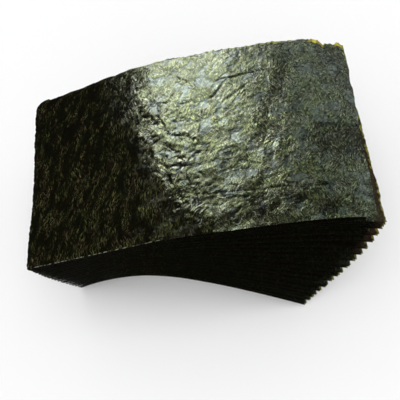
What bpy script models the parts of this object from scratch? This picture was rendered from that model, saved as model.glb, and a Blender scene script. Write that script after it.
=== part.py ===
"""A wad of half-cut nori sheets, pinched at one end and fanned out at the other.

The sheets are modelled in a pinch frame: x runs along the sheet from the held end, y across it
from the clean-cut long edge, z up through the stack, with the top sheet's near corner at the
origin. An empty then sets the whole wad down on the ends of its lowest sheet.
"""

import math
import random

import bmesh
import bpy
from mathutils import Vector

MM = 0.001

# One sheet: a 210 x 190 mm sheet cut in half.
SHEET_LENGTH = 190.0
SHEET_WIDTH = 105.0
SHEET_THICKNESS = 0.2
SHEET_COUNT = 40
SHEET_PITCH = 0.52
DECKLE_DEPTH = 1.3
CORNER_WEAR = 1.6
# The top sheet's free end is askew: this much shorter at its near corner than at its far one.
TOP_END_SKEW = 5.6

# Every sheet has mesh lines where it crosses these bend lines, so that neighbours' facets
# run side by side; past the last one the free end is divided evenly.
SHARED_LINES = (12, 24, 33, 41, 48, 54, 60, 66, 73, 81, 90, 100, 111)
FREE_END_CELLS = 4
CELLS_ALONG = len(SHARED_LINES) + FREE_END_CELLS
CELLS_ACROSS = 2

# The bend lines run almost straight across the sheets; this is their skew.
BEND_SKEW = math.radians(4.8)
# The top sheet is flat at the held end and then bends down twice: (start, length, angle).
TOP_BENDS = (
    (66.4, 37.0, math.radians(13.8)),
    (134.6, 58.9, math.radians(29.1)),
)

# How much the stack spreads on either side of the pinch.
PINCH_PLACE = 56.9
PINCH_ROUNDING = 25.7
HELD_SPREAD = 0.87
FREE_SPREAD = 1.44
# The same slopes change towards the far edge by these shares, so that the lowest sheet's
# four corners lie in one plane.
HELD_SPREAD_FAR = 0.50
FREE_SPREAD_FAR = -0.23

# How far the lowest sheet is turned and slid under the top one, by the pinch.
FAN_TURN = math.radians(6.8)
FAN_PIVOT = (46.7, 57.4)
FAN_SLIDE = (-10.7, -4.8)

# Neighbouring sheets cling in small clumps, with wider gaps between the clumps.
CLUMP_SIZES = (1, 1, 2, 3)
CLING_GAP = 0.5
CLUMP_GAP = 1.6

WALK_STEP = 1.0
SEED = 11


def eased(share):
    """A smooth rise from 0 to 1 as share goes from 0 to 1."""
    share = min(max(share, 0.0), 1.0)
    return share * share * (3.0 - 2.0 * share)


def fan_shares(rng):
    """How far each sheet shares in the fan, from 1 for the lowest to 0 for the top one."""
    gaps = []
    while len(gaps) < SHEET_COUNT - 1:
        gaps += [CLING_GAP * rng.uniform(0.7, 1.3)] * rng.choice(CLUMP_SIZES)
        gaps.append(CLUMP_GAP * rng.uniform(0.7, 1.4))
    gaps = gaps[: SHEET_COUNT - 1]
    total = sum(gaps)
    return [sum(gaps[index:]) / total for index in range(SHEET_COUNT)]


def spread_slopes(across):
    """The stack's spread slopes on the held and the free side, at this distance across."""
    far = across / SHEET_WIDTH
    return HELD_SPREAD * (1.0 + HELD_SPREAD_FAR * far), FREE_SPREAD * (1.0 + FREE_SPREAD_FAR * far)


def spread(along, across):
    """How much thicker the stack is here than at the pinch."""
    held, free = spread_slopes(across)
    away = along - PINCH_PLACE
    rise = math.hypot(away, PINCH_ROUNDING) - PINCH_ROUNDING
    return rise * (free if away > 0.0 else held)


def surface_slope(share, along, across):
    """The slope of a sheet's surface across the bend lines."""
    bend = sum(angle * eased((along - start) / length) for start, length, angle in TOP_BENDS)
    held, free = spread_slopes(across)
    away = along - PINCH_PLACE
    opening = away / math.hypot(away, PINCH_ROUNDING) * (free if away > 0.0 else held)
    return -math.tan(bend) - share * opening


def bent(share, depth, arc, across):
    """Carries a point of the flat layout onto a sheet's bent surface.

    arc is measured on the sheet, square to the bend lines, so the sheet keeps its length.
    """
    step = math.copysign(WALK_STEP, arc)
    along, walked = 0.0, 0.0
    height = -depth - share * spread(0.0, across)
    while walked < abs(arc):
        slope = surface_slope(share, along + step / 2.0, across)
        piece = math.hypot(1.0, slope) * WALK_STEP
        part = min(1.0, (abs(arc) - walked) / piece)
        along += step * part
        height += step * part * slope
        walked += piece
    return along, height


def turned(x, y, angle):
    return x * math.cos(angle) - y * math.sin(angle), x * math.sin(angle) + y * math.cos(angle)


def laid_out(x, y, share):
    """Turns and slides a flat sheet within the stack; gives the distance square to the bend
    lines and the distance along them."""
    x, y = turned(x - FAN_PIVOT[0], y - FAN_PIVOT[1], -FAN_TURN * share)
    x += FAN_PIVOT[0] + FAN_SLIDE[0] * share
    y += FAN_PIVOT[1] + FAN_SLIDE[1] * share
    return turned(x, y, -BEND_SKEW)


def placed(x, y, share, depth):
    """Where a point of a flat sheet lies in the pinch frame, in metres."""
    arc, across = laid_out(x, y, share)
    along, height = bent(share, depth, arc, across)
    x, y = turned(along, across, BEND_SKEW)
    return Vector((x, y, height)) * MM


def arc_to(along, share):
    """The distance measured on a sheet from the first bend line to the one at along."""
    middle = SHEET_WIDTH / 2.0
    steps = math.ceil(along / WALK_STEP)
    stride = along / steps
    slopes = (surface_slope(share, (step + 0.5) * stride, middle) for step in range(steps))
    return sum(math.hypot(1.0, slope) * stride for slope in slopes)


def column_x(column, y, arcs, share):
    """How far along a flat sheet a column of the mesh meets the row at y."""
    start, _ = laid_out(0.0, y, share)
    end, _ = laid_out(SHEET_LENGTH, y, share)
    if column == 0:
        return 0.0
    if column <= len(arcs):
        return SHEET_LENGTH * (arcs[column - 1] - start) / (end - start)
    last_line = SHEET_LENGTH * (arcs[-1] - start) / (end - start)
    free_share = (column - len(arcs)) / FREE_END_CELLS
    return last_line + (SHEET_LENGTH - last_line) * free_share


def sheet_mesh(name, share, depth, rng):
    """The middle surface of one sheet, with three deckle edges and one clean-cut edge."""
    arcs = [arc_to(line, share) for line in SHARED_LINES]
    shape = bmesh.new()
    bmesh.ops.create_grid(shape, x_segments=CELLS_ALONG, y_segments=CELLS_ACROSS, size=0.5)
    # The sheets twist a little, so every cell is split the same way on all of them.
    bmesh.ops.triangulate(shape, faces=shape.faces, quad_method="FIXED")
    for vertex in shape.verts:
        column = round((vertex.co.x + 0.5) * CELLS_ALONG)
        held_end, free_end = column == 0, column == CELLS_ALONG
        far_edge = vertex.co.y > 0.499
        y = (vertex.co.y + 0.5) * SHEET_WIDTH - DECKLE_DEPTH * far_edge * rng.random()
        x = column_x(column, y, arcs, share)
        x += DECKLE_DEPTH * (held_end - free_end) * rng.random()
        if free_end and share == 0.0:
            x -= TOP_END_SKEW * (1.0 - y / SHEET_WIDTH)
        if held_end and far_edge:
            x, y = x + CORNER_WEAR, y - CORNER_WEAR
        vertex.co = placed(x, y, share, depth)
    mesh = bpy.data.meshes.new(name)
    shape.to_mesh(mesh)
    shape.free()
    return mesh


def nori_material():
    material = bpy.data.materials.new("nori")
    material.use_nodes = True
    shader = material.node_tree.nodes["Principled BSDF"]
    shader.inputs["Base Color"].default_value = (0.022, 0.027, 0.012, 1.0)
    shader.inputs["Roughness"].default_value = 0.42
    shader.inputs["Metallic"].default_value = 0.0
    return material


def build_sheets(collection, carrier):
    """All the sheets, from the lowest, sheet_01, to the top one."""
    rng = random.Random(SEED)
    material = nori_material()
    shares = fan_shares(rng)
    for index, share in enumerate(shares):
        name = f"sheet_{index + 1:02d}"
        depth = (SHEET_COUNT - 1 - index) * SHEET_PITCH
        sheet = bpy.data.objects.new(name, sheet_mesh(name, share, depth, rng))
        sheet.data.materials.append(material)
        sheet.parent = carrier
        collection.objects.link(sheet)
        thick = sheet.modifiers.new("thickness", "SOLIDIFY")
        thick.thickness = SHEET_THICKNESS * MM
        thick.offset = 0.0


def rest_turn():
    """The turn that levels the plane through the lowest sheet's four corners."""
    depth = (SHEET_COUNT - 1) * SHEET_PITCH
    spots = ((0.0, 0.0), (SHEET_LENGTH, 0.0), (SHEET_LENGTH, SHEET_WIDTH), (0.0, SHEET_WIDTH))
    near_left, near_right, far_right, far_left = (placed(x, y, 1.0, depth) for x, y in spots)
    upward = (far_right - near_left).cross(far_left - near_right)
    return upward.rotation_difference(Vector((0.0, 0.0, 1.0)))


def set_down(carrier, collection):
    """Moves the carrier so that the origin is below the middle of the box the wad fills."""
    carrier.rotation_mode = "QUATERNION"
    carrier.rotation_quaternion = rest_turn()
    bpy.context.view_layer.update()
    graph = bpy.context.evaluated_depsgraph_get()
    points = []
    for sheet in collection.objects:
        if sheet.type == "MESH":
            solid = sheet.evaluated_get(graph)
            points += [solid.matrix_world @ vertex.co for vertex in solid.data.vertices]
    low = Vector(min(point[axis] for point in points) for axis in range(3))
    high = Vector(max(point[axis] for point in points) for axis in range(3))
    carrier.location = -Vector(((low.x + high.x) / 2.0, (low.y + high.y) / 2.0, low.z))


def main():
    for item in list(bpy.data.objects):
        bpy.data.objects.remove(item, do_unlink=True)
    collection = bpy.data.collections.new("nori_sheet_stack")
    bpy.context.scene.collection.children.link(collection)
    carrier = bpy.data.objects.new("rest_pose", None)
    collection.objects.link(carrier)
    build_sheets(collection, carrier)
    set_down(carrier, collection)


main()
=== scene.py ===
"""The looks of a pinched and fanned stack of half-cut nori sheets.

Every packed sheet is replaced by a thin, uneven sheet with deckle edges, laid on the same bent
surface as its solid. Lengths are in millimetres until a mesh is made; the frame is in metres.
"""

import math
import random

import bpy
import numpy as np
from mathutils import Matrix, Vector


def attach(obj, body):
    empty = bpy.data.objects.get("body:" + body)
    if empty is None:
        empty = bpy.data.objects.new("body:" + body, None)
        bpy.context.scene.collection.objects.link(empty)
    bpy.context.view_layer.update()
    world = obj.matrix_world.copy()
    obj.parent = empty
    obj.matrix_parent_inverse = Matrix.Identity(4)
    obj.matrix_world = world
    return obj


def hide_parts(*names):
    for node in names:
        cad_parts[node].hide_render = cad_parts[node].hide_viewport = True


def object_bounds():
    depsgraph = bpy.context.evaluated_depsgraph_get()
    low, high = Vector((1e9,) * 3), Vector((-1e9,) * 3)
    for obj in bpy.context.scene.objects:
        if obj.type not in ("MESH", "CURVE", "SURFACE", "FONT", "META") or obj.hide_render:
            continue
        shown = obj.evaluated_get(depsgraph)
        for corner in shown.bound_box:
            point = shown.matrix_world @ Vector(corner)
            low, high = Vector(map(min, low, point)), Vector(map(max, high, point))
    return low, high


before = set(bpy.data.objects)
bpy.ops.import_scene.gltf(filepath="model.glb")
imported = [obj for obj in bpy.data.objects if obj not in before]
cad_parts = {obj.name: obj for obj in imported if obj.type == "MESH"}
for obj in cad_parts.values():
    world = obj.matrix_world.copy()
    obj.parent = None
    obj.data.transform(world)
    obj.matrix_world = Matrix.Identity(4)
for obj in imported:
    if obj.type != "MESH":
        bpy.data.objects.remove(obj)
cad_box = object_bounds()

MM = 0.001

# The stack, with the sizes and rules that its solids were made from.
SHEET_LENGTH = 190.0
SHEET_WIDTH = 105.0
SHEET_THICKNESS = 0.2
SHEET_COUNT = 40
SHEET_PITCH = 0.52
TOP = SHEET_COUNT - 1
# The bend lines' turn from square, and each bend's start, length and angle along the top sheet.
# The first bend is in two, as it starts with a sharp crease.
BEND_SKEW = math.radians(4.8)
TOP_BENDS = (
    (73.5, 5.0, math.radians(5.2)),
    (74.5, 31.8, math.radians(8.6)),
    (134.6, 58.9, math.radians(29.1)),
)
# How the stack thickens away from the pinch, and how much more it does so at the far edge.
PINCH_PLACE = 56.9
PINCH_ROUNDING = 25.7
HELD_SPREAD, HELD_SPREAD_FAR = 0.87, 0.50
FREE_SPREAD, FREE_SPREAD_FAR = 1.44, -0.23
# How far the lowest sheet is turned and slid from the top one.
FAN_TURN = math.radians(6.8)
FAN_PIVOT = (46.7, 57.4)
FAN_SLIDE = (-10.7, -4.8)
# The sheets cling in clumps, with wider gaps between the clumps.
CLUMP_SIZES = (1, 1, 2, 3)
CLING_GAP, CLING_RANGE = 0.5, (0.7, 1.3)
CLUMP_GAP, CLUMP_RANGE = 1.6, (0.7, 1.4)
CLUMP_SEED = 11
# The step for walking along a bent sheet, and the places that give the stack's lowest point.
WALK_STEP = 1.0
PLACES_ALONG, PLACES_ACROSS = 60, 30

# How finely the sheets are meshed, in cells along and across. The upper sheets are those just
# under the top one, whose free ends show.
TOP_CELLS = (290, 160)
UPPER_CELLS = (58, 104)
LOWER_CELLS = (70, 60)
UPPER_COUNT = 8

# What sets the sheets apart: a step for the patterns on them, seeds for their edges and strays.
SHEET_STEP = 31
EDGE_SEED, STRAY_SEED, SEED_STEP = 100, 1000, 10


# ---------------------------------------------------------------- the bent surfaces


def eased(share):
    """A share held between 0 and 1, with a gentle start and end."""
    share = np.clip(share, 0.0, 1.0)
    return share * share * (3.0 - 2.0 * share)


def ramp(value, start, end):
    """Eases from 0 where the value is start to 1 where it is end."""
    return eased((value - start) / (end - start))


def fan_shares():
    """How far each sheet shares in the fan, from 1 for the lowest to 0 for the top one."""
    rng = random.Random(CLUMP_SEED)
    gaps = []
    while len(gaps) < TOP:
        gaps += [CLING_GAP * rng.uniform(*CLING_RANGE)] * rng.choice(CLUMP_SIZES)
        gaps.append(CLUMP_GAP * rng.uniform(*CLUMP_RANGE))
    gaps = gaps[:TOP]
    total = sum(gaps)
    return [sum(gaps[index:]) / total for index in range(SHEET_COUNT)]


def spread_slopes(across):
    """How fast the stack thickens towards its held and its free end."""
    far = across / SHEET_WIDTH
    return HELD_SPREAD * (1.0 + HELD_SPREAD_FAR * far), FREE_SPREAD * (1.0 + FREE_SPREAD_FAR * far)


def spread(along, across):
    """How much thicker the stack is here than at the pinch."""
    held, free = spread_slopes(across)
    away = along - PINCH_PLACE
    rise = np.hypot(away, PINCH_ROUNDING) - PINCH_ROUNDING
    return rise * np.where(away > 0.0, free, held)


def surface_slope(share, along, across):
    """How steeply a sheet with a share in the fan rises here."""
    bend = sum(angle * eased((along - start) / length) for start, length, angle in TOP_BENDS)
    held, free = spread_slopes(across)
    away = along - PINCH_PLACE
    opening = away / np.hypot(away, PINCH_ROUNDING) * np.where(away > 0.0, free, held)
    return -np.tan(bend) - share * opening


def bent(share, depth, arc, across):
    """Carries points of the flat layout onto a sheet's bent surface: how far along, how high
    and how steep."""
    step = np.copysign(WALK_STEP, arc)
    along = np.zeros_like(arc)
    walked = np.zeros_like(arc)
    height = -depth - share * spread(along, across)
    while (walked < np.abs(arc)).any():
        slope = surface_slope(share, along + step / 2.0, across)
        piece = np.hypot(1.0, slope) * WALK_STEP
        part = np.clip((np.abs(arc) - walked) / piece, 0.0, 1.0)
        along += step * part
        height += step * part * slope
        walked += piece
    return along, height, surface_slope(share, along, across)


def turned(x, y, angle):
    return x * math.cos(angle) - y * math.sin(angle), x * math.sin(angle) + y * math.cos(angle)


def laid_out(x, y, share):
    """Turns and slides a flat sheet within the stack; gives the distances square to and along
    the bend lines."""
    x, y = turned(x - FAN_PIVOT[0], y - FAN_PIVOT[1], -FAN_TURN * share)
    x = x + FAN_PIVOT[0] + FAN_SLIDE[0] * share
    y = y + FAN_PIVOT[1] + FAN_SLIDE[1] * share
    return turned(x, y, -BEND_SKEW)


def depth_of(index):
    """How far a sheet lies under the top one at the pinch."""
    return (TOP - index) * SHEET_PITCH


def placed(x, y, share, depth, lift=0.0):
    """Where points of a flat sheet lie in the pinch frame, raised square to the sheet by lift."""
    arc, across = laid_out(x, y, share)
    along, height, slope = bent(share, depth, arc, across)
    steep = np.hypot(1.0, slope)
    along = along - lift * slope / steep
    height = height + lift / steep
    x, y = turned(along, across, BEND_SKEW)
    return np.stack([x, y, height], axis=-1)


def rest_matrix():
    """The turn and move, in metres, that set the stack down as the frame has it."""
    spots = ((0.0, 0.0), (SHEET_LENGTH, 0.0), (SHEET_LENGTH, SHEET_WIDTH), (0.0, SHEET_WIDTH))
    corners = [placed(np.array([x]), np.array([y]), 1.0, depth_of(0))[0] for x, y in spots]
    near_left, near_right, far_right, far_left = (Vector(corner) for corner in corners)
    upward = (far_right - near_left).cross(far_left - near_right)
    turn = upward.rotation_difference(Vector((0.0, 0.0, 1.0))).to_matrix()
    places_along = np.linspace(0.0, SHEET_LENGTH, PLACES_ALONG)
    places_across = np.linspace(0.0, SHEET_WIDTH, PLACES_ACROSS)
    x, y = (places.ravel() for places in np.meshgrid(places_along, places_across))
    sheets = [placed(x, y, share, depth_of(index)) for index, share in ((0, 1.0), (TOP, 0.0))]
    points = np.concatenate([sheet @ np.array(turn).T for sheet in sheets]) * MM
    middle = (points.min(axis=0) + points.max(axis=0)) / 2.0
    low_frame, high_frame = (np.array(corner) for corner in cad_box)
    move = (low_frame + high_frame) / 2.0 - middle
    move[2] = low_frame[2] - points[:, 2].min()
    return Matrix.Translation(Vector(move)) @ turn.to_4x4()


# ---------------------------------------------------------------- patterns

NOISE_CELLS = 256
NOISE_GAIN = 1.4


def rolling(x, y, size, seed):
    """Smooth noise, mostly between -0.7 and 0.7, with features about size millimetres wide."""
    rng = np.random.default_rng(seed)
    angles = rng.uniform(0.0, 2.0 * math.pi, (NOISE_CELLS, NOISE_CELLS))
    x, y = x / size, y / size
    cell_x, cell_y = np.floor(x).astype(int), np.floor(y).astype(int)
    part_x, part_y = x - cell_x, y - cell_y
    ease_x, ease_y = (part**3 * (part * (part * 6.0 - 15.0) + 10.0) for part in (part_x, part_y))

    def corner(right, up):
        angle = angles[(cell_x + right) % NOISE_CELLS, (cell_y + up) % NOISE_CELLS]
        return np.cos(angle) * (part_x - right) + np.sin(angle) * (part_y - up)

    lower = corner(0, 0) * (1.0 - ease_x) + corner(1, 0) * ease_x
    upper = corner(0, 1) * (1.0 - ease_x) + corner(1, 1) * ease_x
    return (lower * (1.0 - ease_y) + upper * ease_y) * NOISE_GAIN


def rolling_line(place, row, size, seed):
    """Smooth noise along one row of the pattern."""
    return rolling(place, np.full_like(place, row), size, seed)


def ridged(x, y, size, seed, sharpness=3.2):
    """A net of narrow ridges, 0 to 1."""
    return np.clip(1.0 - sharpness * np.abs(rolling(x, y, size, seed)), 0.0, 1.0)


def bulge(place, centre, reach):
    """1 at the centre, fading to 0 over about twice the reach."""
    return np.exp(-(((place - centre) / reach) ** 2))


def near_line(x, y, points, width):
    """1 on a line through points, fading to 0 over a width to its sides and past its ends."""
    found = np.zeros_like(x)
    for (x0, y0), (x1, y1) in zip(points, points[1:]):
        length = math.hypot(x1 - x0, y1 - y0)
        share = ((x - x0) * (x1 - x0) + (y - y0) * (y1 - y0)) / length**2
        share = np.clip(share, 0.0, 1.0)
        distance = np.hypot(x - x0 - share * (x1 - x0), y - y0 - share * (y1 - y0))
        found = np.maximum(found, bulge(distance, 0.0, width))
    return found


# ---------------------------------------------------------------- marks on the top sheet

# Marks of the pressing and handling, as lines through places on the flat sheet.
# They are dents in the relief, with painted shade along them as well.
PRESS_LINES = (
    ((116.0, 84.5), (140.0, 86.0), (163.0, 85.5)),
    ((100.0, 20.5), (135.0, 18.0), (160.0, 17.0), (187.0, 16.2)),
)
CREASES = (
    ((113.0, 74.0), (116.5, 77.7), (122.5, 84.0), (129.0, 84.7)),
    ((119.5, 71.0), (125.0, 74.0), (131.0, 78.0)),
    ((85.0, 65.0), (89.0, 56.0), (93.5, 54.0), (97.7, 54.4), (100.6, 51.0), (102.7, 51.0)),
    ((95.6, 90.7), (101.0, 86.0), (103.0, 82.0)),
    ((118.6, 8.2), (121.7, 10.8)),
    ((80.0, 44.0), (86.0, 38.0), (88.0, 30.0)),
    ((92.0, 42.0), (99.0, 40.0), (104.0, 43.0)),
)
# A fold that leans across the sheet: a ridge, a dip beside it with painted shade, and painted shade
# below them.
FOLD_DIP = ((153.5, 94.0), (149.5, 81.0), (143.5, 69.0), (139.0, 58.0), (136.7, 46.0))
LOW_PAINTED_SHADE = ((131.5, 22.0), (130.0, 13.0), (127.5, 3.0))
FOLD_RIDGE = ((158.0, 82.0), (153.2, 68.0), (149.0, 56.0), (145.8, 45.0), (142.0, 34.0))
# A darker patch that runs from this corner to the free end and the near edge.
PATCH_CORNER_X, PATCH_CORNER_Y = 161.0, 52.0
# Where the painted shade over the held end gives way to gloss: places across the top sheet, and how
# far along.
SHADE_EDGE_ACROSS = (0.0, 14.0, 26.0, 38.0, 50.0, 63.0, 105.0)
SHADE_EDGE_ALONG = (104.0, 93.0, 85.0, 78.5, 73.5, 71.0, 67.5)
# The middle and reach of the crumpled part along the sheet, and of the calm part each way.
CRUMPLED_PART = (92.0, 15.0)
CALM_ALONG = (112.0, 22.0)
CALM_ACROSS = (86.0, 16.0)


def crumpled(x, y):
    """How crumpled the top sheet is, most just past the first bend and towards the near edge."""
    arc, _ = turned(x, y, -BEND_SKEW)
    return 0.2 + 0.8 * bulge(arc, *CRUMPLED_PART) * ramp(y, 108.0, 58.0)


def worked(x, y):
    """How much the relief shows: little at the held end, wholly past the first bend."""
    arc, _ = turned(x, y, -BEND_SKEW)
    return 0.25 + 0.75 * ramp(arc, 62.0, 76.0)


def felted(x, y, seed):
    """Where strands lie felted, 1, and where the sheet is a smooth film, 0."""
    wander = 1.5 * rolling(x, y, 5.0, seed + 2)
    patches = rolling(x + wander, y, 8.0, seed) + 0.7 * rolling(x, y + wander, 3.0, seed + 1)
    return eased((patches + 0.60) / 0.7)


def valleys(x, y):
    """The sharp valleys between the blisters of the crumpled part, 0 to 1."""
    wander = 2.0 * rolling(x, y, size=6.0, seed=12)
    net = ridged(x + wander, y - wander, size=4.2, seed=6) ** 2
    gaps = np.clip(0.5 + 1.8 * rolling(x, y, size=7.0, seed=13), 0.0, 1.0)
    return net * gaps * crumpled(x, y)


def waver(x, y):
    """How far the drawn lines stray from their places."""
    return 0.8 * rolling(x, y, size=5.0, seed=8)


def blisters(x, y):
    """The blisters and strands in the top sheet's surface, from the widest to the finest."""
    wander = 2.0 * rolling(x, y, size=11.0, seed=1)
    crumple = crumpled(x, y)
    felt = 0.3 + 0.7 * felted(x, y, SHEET_STEP * TOP)
    height = 0.26 * rolling(x + wander, y, size=12.0, seed=3)
    height += (0.10 + 0.16 * crumple) * rolling(x, y + wander, size=6.0, seed=4)
    height += (0.07 + 0.10 * crumple) * felt * rolling(x + wander, y - wander, size=3.1, seed=5)
    height += (0.05 + 0.04 * crumple) * felt * rolling(x, y, size=1.7, seed=10)
    height *= 1.0 - 0.7 * bulge(x, *CALM_ALONG) * bulge(y, *CALM_ACROSS)
    height -= 0.30 * valleys(x, y)
    height += 0.05 * felt * ridged(x + wander, y, size=3.4, seed=7)
    return height


def top_relief(x, y):
    """Height of the top sheet's surface over its bent form."""
    height = 0.30 * rolling(x, y, size=34.0, seed=2)
    height += worked(x, y) * blisters(x, y)
    stray = waver(x, y)
    for line in PRESS_LINES:
        height -= 0.10 * near_line(x, y + 0.4 * stray, line, 0.6)
    for line in CREASES:
        height -= 0.20 * near_line(x + stray, y, line, 0.8)
        height += 0.14 * near_line(x + stray - 0.5, y - 1.4, line, 1.2)
    height += 0.20 * near_line(x + 1.5 * stray, y, FOLD_RIDGE, 2.6)
    height -= 0.12 * near_line(x + 3.0 * stray, y, FOLD_DIP, 3.5)
    return height


def marks_shade(x, y):
    """How dark the top sheet is, 0 to 1: painted shade in valleys, creases, press lines and dips, and
    darker patches.
    """
    stray = waver(x, y)
    dashes = np.clip(0.6 + 1.6 * rolling(x, y, size=4.0, seed=9), 0.0, 1.0)
    # Painted shade in the valleys between the blisters, and in the press lines and creases.
    shades = [0.8 * valleys(x, y)]
    for line in PRESS_LINES:
        shades.append(1.1 * np.clip(dashes, 0.55, 1.0) * near_line(x, y + 0.4 * stray, line, 0.6))
    for line in CREASES:
        shades.append(0.8 * dashes * near_line(x + stray, y, line, 0.7))
    patch = eased(x - PATCH_CORNER_X + 0.5 * stray) * eased(PATCH_CORNER_Y - y + 0.5 * stray)
    patch = patch * (0.25 + 0.75 * eased((y - PATCH_CORNER_Y + 30.0) / 16.0))
    shades.append(0.74 * patch)
    darker_areas = rolling(x, y, size=14.0, seed=21) + 0.8 * rolling(x, y, size=5.0, seed=22)
    darker_areas = eased((darker_areas - 0.02) / 0.45)
    shades.append(0.6 * darker_areas * ramp(x, 112.0, 132.0) * (0.7 + 0.3 * ramp(y, 60.0, 30.0)))
    # Painted shade in the dip beside the fold, and in a band below it.
    shades.append(0.72 * near_line(x + 3.0 * stray, y, FOLD_DIP, 5.5))
    shades.append(0.55 * near_line(x + 3.0 * stray, y, LOW_PAINTED_SHADE, 5.0))
    return np.maximum.reduce(shades)


def painted_held_end_shade(x, y):
    """Painted shade over the held end, from 0 to 1, with a half-shaded zone past its ragged edge."""
    past = x - np.interp(y, SHADE_EDGE_ACROSS, SHADE_EDGE_ALONG)
    ragged = 5.0 * rolling(x, y, size=9.0, seed=14) + 3.0 * rolling(x, y, size=3.6, seed=15)
    edge = past + ragged * (0.3 + 0.7 * ramp(y, 66.0, 42.0))
    # Painted shade: the face lowers its gloss by this to darken the held end.
    dull = eased(0.5 - edge / 3.0)
    dull = dull * (1.0 - 0.8 * ramp(x, 46.0, 56.0) * ramp(y, 64.0, 78.0))
    return np.maximum(dull, 0.62 * eased(0.5 - (past - 9.0 + 2.5 * ragged) / 8.0))


# ---------------------------------------------------------------- sheets

# The notch in the top sheet's far edge, and the tufts to its sides with their yellow parts, as
# middles and reaches along the edge.
NOTCH = (176.5, 0.9)
TUFTS = ((171.5, 2.6), (186.5, 1.8))
YELLOW_TUFTS = ((172.5, 3.0), (187.0, 2.5))
YELLOW_WIDTH = 2.0
# The dip in the top sheet's held edge, and a nick in its free edge.
HELD_DIP = (45.0, 17.0)
FREE_NICK = (80.0, 4.0)
TOP_CORNER_RADIUS = 7.0
# How much of the gap beside it a lower sheet may stray into, and the widest gap that counts.
STRAY_SHARE = 0.42
WIDEST_GAP = 6.0


def edge_wear(place, depth, seed):
    """How far a deckle edge is worn in, at places along it."""
    wear = 0.5 + 0.5 * rolling_line(place, 3.3, 16.0, seed)
    wear += 0.45 * rolling_line(place, 7.7, 4.5, seed + 1)
    wear += 0.45 * rolling_line(place, 1.9, 1.9, seed + 2)
    wear += 0.25 * rolling_line(place, 2.9, 1.1, seed + 6)
    wear += 2.7 * np.clip(rolling_line(place, 5.1, 7.0, seed + 3) - 0.42, 0.0, 1.0)
    return depth * np.clip(wear, 0.0, 2.2)


def top_wear(x, y, across_share, left, right, far):
    """The top sheet's own wear: its held edge dips, its free end is askew, and its far edge
    winds and has a notch between two bushy tufts."""
    left = left + 3.6 * bulge(y, *HELD_DIP)
    right = 0.5 * right + 2.6 * ramp(y, 88.0, 38.0) + 1.0 * bulge(y, *FREE_NICK)
    right = right + 3.4 * (1.0 - across_share) ** 1.5
    bushy = 1.4 + 1.6 * rolling_line(x, 4.4, 1.3, 16)
    far = 1.4 * far + 0.5 + 1.3 * rolling_line(x, 6.1, 21.0, 17) + 1.6 * bulge(x, *NOTCH)
    far = far - bushy * sum(bulge(x, *tuft) for tuft in TUFTS)
    return left, right, np.clip(far, -1.2, None)


def outline(along_share, across_share, index):
    """Flat places of a sheet's grid, from 0 to 1 shares along and across, worn at its edges."""
    seed = EDGE_SEED + SEED_STEP * index
    x = along_share * SHEET_LENGTH
    y = across_share * SHEET_WIDTH
    left = edge_wear(y, 1.0, seed)
    right = edge_wear(y, 1.0, seed + 4)
    far = edge_wear(x, 0.9, seed + 8)
    radius = TOP_CORNER_RADIUS if index == TOP else 2.0 + 3.0 * random.Random(seed).random()
    inset = np.clip(y - (SHEET_WIDTH - radius), 0.0, radius)
    left = left + radius - np.sqrt(np.clip(radius**2 - inset**2, 0.0, None))
    if index == TOP:
        left, right, far = top_wear(x, y, across_share, left, right, far)
    x = left + along_share * (SHEET_LENGTH - left - right)
    y = across_share * (SHEET_WIDTH - far)
    return x, y


def local_gap(index, shares, along, across, slope):
    """The smaller of the gaps above and below a sheet."""
    gaps = []
    for other in (index - 1, index + 1):
        if 0 <= other <= TOP:
            opening = abs(shares[index] - shares[other]) * spread(along, across)
            gaps.append((SHEET_PITCH + opening) / np.hypot(1.0, slope) - SHEET_THICKNESS)
    return np.minimum.reduce(gaps)


def sheet_lift(index, shares, x, y):
    """How far a lower sheet strays from its bent form, always less than half the gap beside it."""
    share = shares[index]
    arc, across = laid_out(x, y, share)
    along, _, slope = bent(share, depth_of(index), arc, across)
    gap = np.clip(local_gap(index, shares, along, across, slope), 0.0, WIDEST_GAP)
    seed = STRAY_SEED + SEED_STEP * index
    stray = 0.9 * rolling(x, y, 45.0, seed) + 0.5 * rolling(x, y, 18.0, seed + 1)
    stray += 0.25 * rolling(x, y, 8.0, seed + 2)
    return STRAY_SHARE * gap * np.clip(stray, -1.0, 1.0)


def sheet_cells(index):
    """How many cells a sheet's grid has along and across."""
    if index < TOP - UPPER_COUNT:
        return LOWER_CELLS
    if index < TOP:
        return UPPER_CELLS
    return TOP_CELLS


def add_patterns(mesh, index, along_share, across_share, x, y):
    """Stores what the materials read: where each point is on the flat sheet, with a third number
    that tells sheets apart, and how dark, felted and tufted it is."""
    tag = np.full_like(x, SHEET_STEP * index)
    places = np.stack([along_share * SHEET_LENGTH, across_share * SHEET_WIDTH, tag], axis=-1)
    spot = mesh.attributes.new("spot", "FLOAT_VECTOR", "POINT")
    spot.data.foreach_set("vector", places.astype(np.float32).ravel())
    shade, tuft = np.zeros_like(x), np.zeros_like(x)
    if index == TOP:
        # Painted shade on the top sheet, with darker patches; the face lowers its gloss by it.
        shade = np.maximum(marks_shade(x, y), painted_held_end_shade(x, y))
        tuft = sum(bulge(x, *part) for part in YELLOW_TUFTS)
        tuft = tuft * (across_share > 1.0 - YELLOW_WIDTH / SHEET_WIDTH)
    felt = felted(x, y, SHEET_STEP * index)
    for name, values in (("shade", shade), ("felt", felt), ("tuft", tuft)):
        pattern = mesh.attributes.new(name, "FLOAT", "POINT")
        pattern.data.foreach_set("value", values.astype(np.float32))


def mark_outline_sharp(mesh):
    """Keeps the light on a sheet's faces from bleeding round onto its thin edges."""
    uses = np.zeros(len(mesh.edges), int)
    edges = np.empty(len(mesh.loops), int)
    mesh.loops.foreach_get("edge_index", edges)
    np.add.at(uses, edges, 1)
    sharp = mesh.attributes.new("sharp_edge", "BOOLEAN", "EDGE")
    sharp.data.foreach_set("value", uses == 1)


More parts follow.
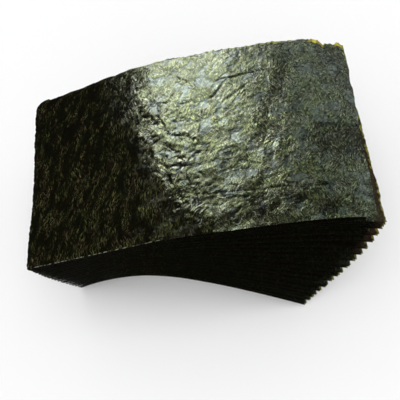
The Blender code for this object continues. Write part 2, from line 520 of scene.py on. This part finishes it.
def sheet_mesh(index, shares, matrix):
    """One sheet as an open grid on its bent surface, in metres."""
    cells_along, cells_across = sheet_cells(index)
    steps = np.linspace(0.0, 1.0, cells_along + 1), np.linspace(0.0, 1.0, cells_across + 1)
    along_share, across_share = (share.ravel() for share in np.meshgrid(*steps))
    x, y = outline(along_share, across_share, index)
    lift = top_relief(x, y) if index == TOP else sheet_lift(index, shares, x, y)
    points = placed(x, y, shares[index], depth_of(index), lift) * MM
    points = points @ np.array(matrix.to_3x3()).T + np.array(matrix.translation)

    row = cells_along + 1
    first = (np.arange(cells_across)[:, None] * row + np.arange(cells_along)[None, :]).ravel()
    faces = np.stack([first, first + 1, first + row + 1, first + row], axis=-1)
    mesh = bpy.data.meshes.new(f"nori_{index + 1:02d}")
    mesh.from_pydata(points.tolist(), [], faces.tolist())
    mesh.shade_smooth()
    add_patterns(mesh, index, along_share, across_share, x, y)
    mark_outline_sharp(mesh)
    return mesh


def sheet_piece(index, shares, matrix, materials):
    """One sheet as a closed thin piece: its face, its back and its cut have their materials."""
    mesh = sheet_mesh(index, shares, matrix)
    piece = bpy.data.objects.new(mesh.name, mesh)
    bpy.context.scene.collection.objects.link(piece)
    for material in materials:
        mesh.materials.append(material)
    solid = piece.modifiers.new("thickness", "SOLIDIFY")
    solid.thickness = SHEET_THICKNESS * MM
    solid.offset = 0.0
    solid.material_offset = 1
    solid.material_offset_rim = 2
    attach(piece, "root")
    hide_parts(f"sheet_{index + 1:02d}")
    return piece


# ---------------------------------------------------------------- materials


def colour(red, green, blue):
    return (red, green, blue, 1.0)


# The shiny side: smooth film and the felted strands on it, which are olive at the held end.
FILM_BROWN = colour(0.0030, 0.0023, 0.0014)
FILM_GREEN = colour(0.0026, 0.0030, 0.0018)
STRAND_GREEN = colour(0.0058, 0.0060, 0.0018)
# The olive strands are partly painted glints, most at the held end.
OLIVE_BROWN = colour(0.122, 0.108, 0.054)
OLIVE_GREEN = colour(0.148, 0.146, 0.052)
# Its edges: browned free ends, the fringe of the deckle, the teeth, the cut edge and the tufts.
BROWNED_FILM = colour(0.012, 0.0042, 0.0014)
BROWNED_STRAND = colour(0.032, 0.013, 0.003)
# The fringe is pale partly from its own colour and partly as painted light shining through it.
FRINGE_OLIVE = colour(0.060, 0.056, 0.010)
FRINGE_YELLOW = colour(0.16, 0.16, 0.020)
# The teeth's tips are pale with painted light shining through them.
TOOTH_TIP = colour(0.14, 0.135, 0.026)
# A painted highlight along the cut edge.
CUT_EDGE_HIGHLIGHT = colour(0.16, 0.16, 0.11)
TUFT_OCHRE = colour(0.20, 0.16, 0.010)
TUFT_YELLOW = colour(0.50, 0.42, 0.020)
# The hues of its gloss.
FILM_TINT = colour(0.72, 0.92, 1.0)
FELT_TINT = colour(0.84, 1.0, 0.56)
STRAND_TINT_PALE = colour(0.98, 1.0, 0.74)
STRAND_TINT_GREEN = colour(0.90, 1.0, 0.42)
# The rough side, and the thickness of the sheets.
BACK_BROWN = colour(0.0060, 0.0048, 0.0022)
BACK_GREEN = colour(0.0052, 0.0062, 0.0028)
BACK_STRAND = colour(0.015, 0.016, 0.006)
CUT_BLACK = colour(0.0022, 0.0022, 0.0015)
DECKLE_BLACK = colour(0.008, 0.007, 0.003)
DECKLE_BROWN = colour(0.022, 0.009, 0.003)
DECKLE_OLIVE = colour(0.050, 0.052, 0.012)
DECKLE_YELLOW = colour(0.13, 0.11, 0.018)

# How strong the gloss is. Felt and strands change towards the free end.
FILM_GLOSS = (0.15, 0.27)
FELT_GLOSS = (0.17, 0.08)
STRAND_GLOSS = (0.5, 0.80)
DARK_GLOSS = 0.02
# Painted shade: the sheets under the top one have less gloss.
LOWER_SHEETS_PAINTED_SHADE = 0.45

# Where the looks change along a sheet, from its held end, and across it, from its near edge:
# a change starts at the first place and is complete at the second.
FREE_PART = (105.0, 145.0)
HELD_PART = (105.0, 80.0)
FULL_PITS = (125.0, 152.0)
CALM_SHINE_ALONG, CALM_SHINE_ACROSS = (150.0, 120.0), (64.0, 88.0)
MORE_OLIVE = (75.0, 25.0)
FRINGED_PART = (60.0, 150.0)
CLEAN_EDGE = (96.0, 84.0)
TOOTH_PART = (16.0, 5.0)
CUT_HIGHLIGHT_PART = (96.0, 70.0)
FULL_RELIEF = (50.0, 74.0)
# How far in from the free end the brown fades, and from the near edge the painted highlight goes.
BROWN_REACH = (7.0, 4.5)
CUT_HIGHLIGHT_WIDTH = 0.45
# The part of a sheet's thickness that is cut clean: how near the near edge, and how far along.
CUT_WIDTH = 0.4
CUT_END = (SHEET_LENGTH - 0.6, SHEET_LENGTH - 1.6)

# The strands' length and width, for those that lie up the sheet and for those that lean.
UPWARD_STRANDS = (3.3, 0.68)
LEANING_STRANDS = (3.0, 0.64)
FREE_END_SIZES = (0.58, 0.8)
# The height of the strands, in metres, and how far apart patterns must be in depth to differ.
FACE_RELIEF = 0.00018
BACK_RELIEF = 0.00025
PATTERN_DEPTH = 10.0

# A Mix node's sockets for each kind of value: the first, the second and the result.
MIX_SOCKETS = {"FLOAT": (2, 3, 0), "RGBA": (6, 7, 2)}


def tag_of(sheets_down):
    """The number that tells a sheet apart in the spot pattern, counted down from the top one."""
    return float(SHEET_STEP * (TOP - sheets_down))


class Wiring:
    """A material in the making, with short names for the nodes that it uses."""

    def __init__(self, name):
        self.material = bpy.data.materials.new(name)
        self.material.use_nodes = True
        self.nodes = self.material.node_tree.nodes
        self.links = self.material.node_tree.links
        self.shader = self.nodes["Principled BSDF"]

    def join(self, value, socket):
        if isinstance(value, bpy.types.NodeSocket):
            self.links.new(value, socket)
        else:
            socket.default_value = value

    def put(self, name, value):
        """Gives an input of the shader a pattern, or a value that is the same all over."""
        self.join(value, self.shader.inputs[name])

    def attribute(self, name, output="Fac"):
        node = self.nodes.new("ShaderNodeAttribute")
        node.attribute_name = name
        return node.outputs[output]

    def parts(self, vector):
        node = self.nodes.new("ShaderNodeSeparateXYZ")
        self.join(vector, node.inputs[0])
        return tuple(node.outputs)

    def math(self, kind, first, second=0.0):
        node = self.nodes.new("ShaderNodeMath")
        node.operation = kind
        self.join(first, node.inputs[0])
        self.join(second, node.inputs[1])
        return node.outputs[0]

    def combined(self, kind, first, *others):
        for other in others:
            first = self.math(kind, first, other)
        return first

    def product(self, *values):
        return self.combined("MULTIPLY", *values)

    def largest(self, *values):
        return self.combined("MAXIMUM", *values)

    def smallest(self, *values):
        return self.combined("MINIMUM", *values)

    def faded(self, share, amount=1.0):
        """1 where a share is 0, less by an amount where the share is 1."""
        return self.math("SUBTRACT", 1.0, self.product(share, amount))

    def smooth(self, value, low, high, to_low=0.0, to_high=1.0):
        """Eases from to_low to to_high as value goes from low to high."""
        node = self.nodes.new("ShaderNodeMapRange")
        node.interpolation_type = "SMOOTHSTEP"
        for socket, number in zip(node.inputs, (value, low, high, to_low, to_high)):
            self.join(number, socket)
        return node.outputs["Result"]

    def mixed(self, kind, share, first, second):
        node = self.nodes.new("ShaderNodeMix")
        node.data_type = kind
        first_socket, second_socket, result = MIX_SOCKETS[kind]
        self.join(share, node.inputs[0])
        self.join(first, node.inputs[first_socket])
        self.join(second, node.inputs[second_socket])
        return node.outputs[result]

    def between(self, share, first, second):
        """A number that goes from the first to the second as a share goes from 0 to 1."""
        return self.mixed("FLOAT", share, first, second)

    def mix(self, share, first, second):
        """A colour that goes from the first to the second as a share goes from 0 to 1."""
        return self.mixed("RGBA", share, first, second)

    def grain(self, vector, angle, length, width, depth=PATTERN_DEPTH, output="Fac", **settings):
        """Noise whose grains are about this long and wide, with their length turned by angle."""
        turn = self.nodes.new("ShaderNodeMapping")
        turn.vector_type = "TEXTURE"
        turn.inputs["Rotation"].default_value = (0.0, 0.0, angle)
        turn.inputs["Scale"].default_value = (length, width, depth)
        self.join(vector, turn.inputs["Vector"])
        node = self.nodes.new("ShaderNodeTexNoise")
        node.inputs["Scale"].default_value = 1.0
        node.inputs["Detail"].default_value = settings.get("detail", 2.0)
        node.inputs["Roughness"].default_value = settings.get("roughness", 0.5)
        node.inputs["Distortion"].default_value = settings.get("distortion", 0.0)
        self.join(turn.outputs[0], node.inputs["Vector"])
        return node.outputs[output]

    def drifted(self, vector, spot, size, distance):
        """Moves a vector by smooth noise of the spot, from nothing up to a distance each way."""
        node = self.nodes.new("ShaderNodeVectorMath")
        node.operation = "MULTIPLY_ADD"
        self.join(self.grain(spot, 0.0, size, size, output="Color"), node.inputs[0])
        node.inputs[1].default_value = (distance, distance, 0.0)
        self.join(vector, node.inputs[2])
        return node.outputs[0]

    def strands(self, spot, size=1.0):
        """Felted strands, short and lying mostly one way at a place, as a number round 0.5."""
        settings = {"detail": 3.0, "roughness": 0.72}
        swayed = self.drifted(spot, spot, size=24.0, distance=13.0)
        upward_sizes = (size * each for each in UPWARD_STRANDS)
        upward = self.grain(swayed, 1.05, *upward_sizes, **settings)
        leaning_sizes = (size * each for each in LEANING_STRANDS)
        leaning = self.grain(swayed, 2.2, *leaning_sizes, **settings)
        choice = self.smooth(self.grain(spot, 0.5, 11.0, 8.0), 0.46, 0.58)
        change = self.product(self.math("SUBTRACT", leaning, upward), choice)
        return self.math("ADD", upward, change)

    def mottle(self, spot):
        """Wide soft patches, for places that lean to brown or to green."""
        return self.grain(spot, 0.3, 12.0, 8.0, detail=3.0)

    def bump(self, height, distance):
        node = self.nodes.new("ShaderNodeBump")
        node.inputs["Strength"].default_value = 1.0
        node.inputs["Distance"].default_value = distance
        self.join(height, node.inputs["Height"])
        self.put("Normal", node.outputs[0])


class Face(Wiring):
    """The shiny side: near-black green with smooth glossy patches between felted strands."""

    def __init__(self):
        super().__init__("nori_face")
        spot = self.spot = self.attribute("spot", "Vector")
        self.along, self.across, self.tag = self.parts(spot)
        self.from_free_end = self.math("SUBTRACT", SHEET_LENGTH, self.along)
        self.lower = self.math("LESS_THAN", self.tag, tag_of(0) - 1.0)
        self.free = self.smooth(self.along, *FREE_PART)
        self.patches = self.mottle(spot)
        self.ragged = self.grain(spot, 0.2, 2.6, 1.6, detail=3.0)
        self.torn = self.grain(spot, 0.0, 2.4, 2.4, detail=3.0)
        self.felt = self.felt_pattern()
        self.strand = self.strand_pattern()
        calm = self.smooth(self.across, *CALM_SHINE_ACROSS)
        self.calm = self.product(calm, self.smooth(self.along, *CALM_SHINE_ALONG))
        self.raised = self.raised_pattern()
        self.pits = self.pit_pattern()
        self.browned = self.browned_pattern()

    def felt_pattern(self):
        """How felted the sheet is, from little in the film patches to 1."""
        felt = self.math("ADD", self.attribute("felt"), self.smooth(self.ragged, 0.3, 0.7, -0.4, 0.4))
        return self.smooth(felt, 0.1, 0.9, 0.35, 1.0)

    def strand_pattern(self):
        """The strands, finer and of mixed sizes towards the free end."""
        small, large = (self.strands(self.spot, size) for size in FREE_END_SIZES)
        fine = self.between(self.smooth(self.ragged, 0.42, 0.58), small, large)
        return self.between(self.free, self.strands(self.spot), fine)

    def raised_pattern(self):
        """Where strands stand proud, with a few long hairs among them."""
        hair = self.grain(self.spot, 0.8, 6.0, 1.7, distortion=1.2)
        hair = self.math("ABSOLUTE", self.math("SUBTRACT", hair, 0.5))
        hair = self.smooth(hair, 0.036, 0.0, 0.0, 0.7)
        raised = self.product(self.smooth(self.strand, 0.49, 0.64), self.felt)
        return self.product(self.largest(raised, hair), self.faded(self.calm, 0.3))

    def pit_pattern(self):
        """How deep the pits between the strands are: shallow in places but for the free end. Their
        dark is painted shade.
        """
        depth = self.smooth(self.grain(self.spot, 1.1, 17.0, 9.0), 0.38, 0.60, 0.35, 1.0)
        depth = self.largest(depth, self.smooth(self.along, *FULL_PITS))
        depth = self.product(depth, self.faded(self.calm, 0.55))
        return self.product(self.smooth(self.strand, 0.50, 0.38), self.felt, depth)

    def browned_pattern(self):
        """The browned free ends of the sheets just under the top one."""
        ragged = self.smooth(self.ragged, 0.3, 0.7, -1.5, 1.5)
        browned = self.smooth(self.math("ADD", self.from_free_end, ragged), *BROWN_REACH)
        return self.product(browned, self.lower, self.smooth(self.tag, tag_of(14), tag_of(8)))

    def olive_strands_and_glints(self):
        """Fine strands in clusters, most at the held end and on the top sheet; partly painted glints.
        """
        held = self.smooth(self.along, *HELD_PART, 0.45, 1.0)
        held = self.product(held, self.faded(self.lower, 0.8))
        swayed = self.drifted(self.spot, self.spot, size=15.0, distance=9.0)
        swayed = self.drifted(swayed, self.spot, size=4.0, distance=2.4)
        olive = self.grain(swayed, 1.5, 3.2, 0.32, detail=3.0, roughness=0.68)
        clusters = self.grain(self.spot, 1.3, 11.0, 5.0, detail=4.0, roughness=0.6)
        clusters = self.math("ADD", clusters, self.smooth(self.across, *MORE_OLIVE, -0.025, 0.03))
        clusters = self.smooth(clusters, 0.43, 0.62)
        return self.product(self.smooth(olive, 0.53, 0.68), clusters, held)

    def fringe(self):
        """The thin deckle edges, pale partly from their own colour and partly as painted light
        shining through. The top sheet's is mostly clean.
        """
        inward = self.math("SUBTRACT", SHEET_WIDTH, self.across)
        inward = self.smallest(self.along, self.from_free_end, inward)
        reach = self.smooth(self.torn, 0.40, 0.66, 0.1, 1.6)
        reach = self.product(reach, self.smooth(self.tag, tag_of(12), tag_of(2), 0.45, 1.0))
        clean = self.product(self.smooth(self.across, *CLEAN_EDGE), self.faded(self.lower))
        strength = self.product(
            self.smooth(self.along, *FRINGED_PART, 0.06, 0.9),
            self.faded(clean),
            self.smooth(self.tag, tag_of(9), tag_of(3), 0.6, 1.0),
        )
        return self.product(self.math("LESS_THAN", inward, reach), strength)

    def tooth_tips(self):
        """The near corners of the lower sheets, which stick out as teeth, their thin ends pale with
        painted light.
        """
        reach = self.smooth(self.torn, 0.38, 0.62, 0.15, 1.6)
        tips = self.math("LESS_THAN", self.from_free_end, reach)
        return self.product(tips, self.lower, self.smooth(self.across, *TOOTH_PART, 0.0, 0.85))

    def cut_edge_highlight(self):
        """A painted highlight: a pale broken line along the top sheet's near edge, at its held end.
        """
        return self.product(
            self.math("LESS_THAN", self.across, CUT_HIGHLIGHT_WIDTH),
            self.smooth(self.torn, 0.47, 0.56),
            self.smooth(self.along, *CUT_HIGHLIGHT_PART),
            self.faded(self.lower),
        )

    def paint(self):
        """The colour, from the film up to the strands and then the edges."""
        worn = self.smooth(self.torn, 0.4, 0.6)
        base = self.mix(self.smooth(self.patches, 0.4, 0.62), FILM_BROWN, FILM_GREEN)
        base = self.mix(self.raised, base, STRAND_GREEN)
        olive = self.mix(self.smooth(self.patches, 0.42, 0.58), OLIVE_BROWN, OLIVE_GREEN)
        # Olive strands, partly painted glints.
        base = self.mix(self.olive_strands_and_glints(), base, olive)
        base = self.mix(self.browned, base, self.mix(self.raised, BROWNED_FILM, BROWNED_STRAND))
        # The deckle fringe: partly its own colour, partly painted light shining through it.
        base = self.mix(self.fringe(), base, self.mix(worn, FRINGE_OLIVE, FRINGE_YELLOW))
        # The teeth's tips: painted light shining through them.
        base = self.mix(self.tooth_tips(), base, TOOTH_TIP)
        # A painted highlight along the top sheet's near edge.
        base = self.mix(self.cut_edge_highlight(), base, CUT_EDGE_HIGHLIGHT)
        base = self.mix(self.attribute("tuft"), base, self.mix(worn, TUFT_OCHRE, TUFT_YELLOW))
        self.put("Base Color", base)

    def polish(self):
        """The gloss: its roughness, its hue and its strength, least in painted shade, darker patches
        and browned ends.
        """
        self.put("Roughness", self.smooth(self.pits, 0.0, 1.0, 0.15, 0.28))

        tint = self.mix(self.felt, FILM_TINT, FELT_TINT)
        strand_tint = self.smooth(self.patches, 0.40, 0.60)
        strand_tint = self.mix(strand_tint, STRAND_TINT_PALE, STRAND_TINT_GREEN)
        self.put("Specular Tint", self.mix(self.raised, tint, strand_tint))

        film = self.smooth(self.ragged, 0.38, 0.62, *FILM_GLOSS)
        gloss = self.between(self.felt, film, self.between(self.free, *FELT_GLOSS))
        gloss = self.between(self.raised, gloss, self.between(self.free, *STRAND_GLOSS))
        # Painted shade: the sheets under the top one have less gloss.
        gloss = self.product(gloss, self.faded(self.lower, LOWER_SHEETS_PAINTED_SHADE))
        strand_shade = self.smooth(self.strand, 0.42, 0.58, 0.25, -0.35)
        heaps = self.grain(self.spot, -0.5, 5.0, 2.8)
        # Painted shade: gloss is lowered in the pits and by the shade attribute; heaps and browned
        # ends lower it too.
        dark = self.largest(
            self.product(self.pits, 0.9),
            self.smooth(self.math("ADD", self.attribute("shade"), strand_shade), 0.1, 0.75),
            self.smooth(heaps, 0.48, 0.30, 0.0, 0.5),
            self.product(self.browned, 0.85),
        )
        self.put("Specular IOR Level", self.between(dark, gloss, DARK_GLOSS))

    def emboss(self):
        """The strands' relief. The held end was pressed flatter than the rest."""
        strength = self.product(self.felt, self.smooth(self.along, *FULL_RELIEF, 0.52, 1.0))
        self.bump(self.product(self.strand, strength), FACE_RELIEF)


def nori_face():
    face = Face()
    face.paint()
    face.polish()
    face.emboss()
    return face.material


def nori_back():
    """The rough side of a sheet, under it: dull, with the strands standing proud."""
    back = Wiring("nori_back")
    spot = back.attribute("spot", "Vector")
    strand = back.strands(spot)
    base = back.mix(back.smooth(back.mottle(spot), 0.4, 0.62), BACK_BROWN, BACK_GREEN)
    back.put("Base Color", back.mix(back.smooth(strand, 0.50, 0.66), base, BACK_STRAND))
    back.put("Roughness", back.smooth(strand, 0.38, 0.62, 0.75, 0.5))
    back.put("Specular IOR Level", 0.2)
    back.bump(strand, BACK_RELIEF)
    return back.material


def nori_cut():
    """The thickness of a sheet: black on the clean cut, brown to yellow-green on the deckle."""
    cut = Wiring("nori_cut")
    spot = cut.attribute("spot", "Vector")
    along, across, tag = cut.parts(spot)
    worn = cut.smooth(cut.grain(spot, 0.0, 1.6, 1.6, detail=3.0), 0.46, 0.62)
    yellow = cut.mix(cut.smooth(tag, tag_of(12), tag_of(2)), DECKLE_OLIVE, DECKLE_YELLOW)
    deckle = cut.mix(worn, DECKLE_BROWN, yellow)
    deckle = cut.mix(cut.smooth(along, *FRINGED_PART), DECKLE_BLACK, deckle)
    clean = cut.product(cut.math("LESS_THAN", across, CUT_WIDTH), cut.smooth(along, *CUT_END))
    cut.put("Base Color", cut.mix(clean, deckle, CUT_BLACK))
    cut.put("Roughness", 0.8)
    cut.put("Specular IOR Level", 0.05)
    return cut.material


def floor_material():
    """A matt, nearly even pale grey."""
    pale = Wiring("pale_floor")
    place = pale.nodes.new("ShaderNodeTexCoord").outputs["Object"]
    tone = pale.grain(place, 0.0, 0.4, 0.4, depth=0.4)
    pale.put("Base Color", pale.mix(tone, colour(0.86, 0.86, 0.86), colour(0.9, 0.9, 0.9)))
    pale.put("Roughness", 0.9)
    pale.put("Specular IOR Level", 0.1)
    return pale.material


# ---------------------------------------------------------------- stage

FLOOR_SIZE = 60.0

CAMERA_SPOT = Vector((0.0327, -0.1083, 0.2894))
CAMERA_AIM = Vector((0.0046, -0.0165, 0.0700))
CAMERA_ROLL = math.radians(-23.3)
CAMERA_LENS = 41.4
CAMERA_SENSOR = 36.0
CAMERA_NEAREST = 0.01

# The tone of a light, and the tone of those on the room's shaded side.
PLAIN = (1.0, 1.0, 1.0)
SHADE_TONE = (0.90, 1.0, 0.97)
# The lights that gloss mirrors. Each fills the directions from a low to a high corner, which are
# metres right and metres back for a metre up, and has a radiance and a tone. The middle of the
# top sheet mirrors the window and what is next to it; the free end mirrors the others.
SOFTBOX_HEIGHT = 3.0
WINDOW_BOXES = (
    ("window", (-0.68, 0.66), (-0.02, 1.5), 36.0, PLAIN),
    ("pane", (-0.44, 0.55), (0.00, 0.66), 17.0, PLAIN),
    ("sill", (-0.38, 0.46), (-0.01, 0.55), 10.0, PLAIN),
    ("below", (-0.22, 0.35), (-0.05, 0.46), 5.0, PLAIN),
    ("side_edge", (-0.10, 0.55), (0.20, 1.5), 4.0, PLAIN),
)
FILL_BOXES = (
    ("fold_light", (0.20, 0.60), (0.42, 0.80), 6.0, PLAIN),
    ("near_fill", (0.06, 0.35), (1.40, 0.85), 1.0, SHADE_TONE),
)
# Slats side by side, far ones and near ones in turn: their edges, depths and radiances.
SLAT_EDGES = (0.06, 0.24, 0.44, 0.66, 0.92, 1.26, 1.78, 2.60)
SLATS = (("far", 0.85, 1.9, 10.5), ("near", 0.35, 0.85, 6.2))

OVERHEAD_SPOT = (0.3, -0.2, 2.4)
OVERHEAD_SIZE = 2.4
OVERHEAD_RADIANCE = 1.5
ROOM_LIGHT = 0.8
# How bright gloss sees the room low down and high up, and the heights between which it changes.
ROOM_MIRRORED = (0.7, 0.03)
ROOM_HEIGHTS = (0.10, 0.36)


def add_camera():
    camera = bpy.data.objects.new("camera", bpy.data.cameras.new("camera"))
    camera.data.lens = CAMERA_LENS
    camera.data.sensor_width = CAMERA_SENSOR
    camera.data.clip_start = CAMERA_NEAREST
    camera.location = CAMERA_SPOT
    aim = (CAMERA_AIM - CAMERA_SPOT).to_track_quat("-Z", "Y")
    camera.rotation_euler = (aim.to_matrix() @ Matrix.Rotation(CAMERA_ROLL, 3, "Z")).to_euler()
    bpy.context.scene.collection.objects.link(camera)
    bpy.context.scene.camera = camera


def add_light(name, spot, width, length, radiance):
    """A level rectangular light that faces down."""
    data = bpy.data.lights.new(name, "AREA")
    data.shape = "RECTANGLE"
    data.size, data.size_y = width, length
    data.energy = radiance * math.pi * data.size * data.size_y
    light = bpy.data.objects.new(name, data)
    light.location = spot
    bpy.context.scene.collection.objects.link(light)
    return light


def add_softbox(name, low, high, radiance, tone):
    """A light that only gloss shows, as SOFTBOX_HEIGHT and the boxes' numbers place it."""
    low, high = (np.array(corner) * SOFTBOX_HEIGHT for corner in (low, high))
    spot = (*((low + high) / 2.0).tolist(), SOFTBOX_HEIGHT)
    light = add_light(name, spot, *(high - low).tolist(), radiance)
    light.data.color = tone
    light.visible_diffuse = False


def add_lights():
    """A window, dim slats for the free end, and an overhead light for what isn't gloss."""
    for box in WINDOW_BOXES:
        add_softbox(*box)
    for place, (low, high) in enumerate(zip(SLAT_EDGES, SLAT_EDGES[1:])):
        row, near, far, radiance = SLATS[place % 2]
        add_softbox(f"{row}_slat_{place}", (low, near), (high, far), radiance, SHADE_TONE)
    for box in FILL_BOXES:
        add_softbox(*box)
    overhead = add_light(
        "overhead", OVERHEAD_SPOT, OVERHEAD_SIZE, OVERHEAD_SIZE, OVERHEAD_RADIANCE
    )
    overhead.visible_glossy = False


def add_world():
    """A pale room that lights evenly, and that gloss sees as dark above and pale low down."""
    world = bpy.data.worlds.new("studio")
    world.use_nodes = True
    bpy.context.scene.world = world
    nodes, links = world.node_tree.nodes, world.node_tree.links
    room = nodes["Background"]
    room.inputs["Color"].default_value = colour(1.0, 1.0, 1.0)
    ray = nodes.new("ShaderNodeLightPath")
    place = nodes.new("ShaderNodeTexCoord")
    split = nodes.new("ShaderNodeSeparateXYZ")
    links.new(place.outputs["Generated"], split.inputs[0])
    mirrored = nodes.new("ShaderNodeMapRange")
    for socket, number in zip(mirrored.inputs[1:], (*ROOM_HEIGHTS, *ROOM_MIRRORED)):
        socket.default_value = number
    links.new(split.outputs[2], mirrored.inputs[0])

    for_gloss = nodes.new("ShaderNodeMix")
    for_gloss.inputs[2].default_value = ROOM_LIGHT
    links.new(ray.outputs["Is Glossy Ray"], for_gloss.inputs[0])
    links.new(mirrored.outputs[0], for_gloss.inputs[3])
    for_camera = nodes.new("ShaderNodeMix")
    for_camera.inputs[3].default_value = 1.0
    links.new(ray.outputs["Is Camera Ray"], for_camera.inputs[0])
    links.new(for_gloss.outputs[0], for_camera.inputs[2])
    links.new(for_camera.outputs[0], room.inputs["Strength"])


def add_floor():
    bpy.ops.mesh.primitive_plane_add(size=FLOOR_SIZE)
    floor = bpy.context.object
    floor.name = "floor"
    floor.data.materials.append(floor_material())


def main():
    shares = fan_shares()
    matrix = rest_matrix()
    materials = (nori_face(), nori_back(), nori_cut())
    for index in range(SHEET_COUNT):
        sheet_piece(index, shares, matrix, materials)
    add_floor()
    add_lights()
    add_world()
    add_camera()
    bpy.context.scene.view_settings.view_transform = "Standard"


main()
